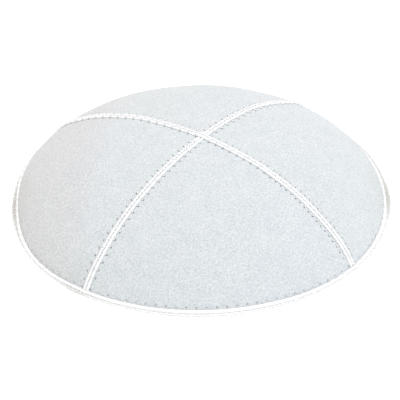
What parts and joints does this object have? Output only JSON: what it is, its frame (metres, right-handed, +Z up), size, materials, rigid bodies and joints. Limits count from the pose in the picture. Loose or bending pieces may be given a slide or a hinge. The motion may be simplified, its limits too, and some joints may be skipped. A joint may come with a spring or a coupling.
{
  "type": "kippah skullcap",
  "caption": "Shallow round suede skullcap of four gores, with taped crossing seams and a bound rim, that stands on its rim.",
  "frame": {"origin": "middle of the rim's foot, on the surface that the cap stands on", "axes": "+Z up out of the top of the crown, +Y toward the back, +X to the right as seen from the front; the seams run on the diagonals"},
  "size_m": [0.165, 0.165, 0.0381],
  "materials": {
    "suede": "matte brushed nap",
    "tape": "matte woven tape"
  },
  "bodies": {
    "root": {"panel_front": "suede", "panel_right": "suede", "panel_back": "suede", "panel_left": "suede", "seam_tape_long": "tape", "seam_tape_front_left": "tape", "seam_tape_back_right": "tape", "rim_binding": "tape"}
  },
  "joints": []
}
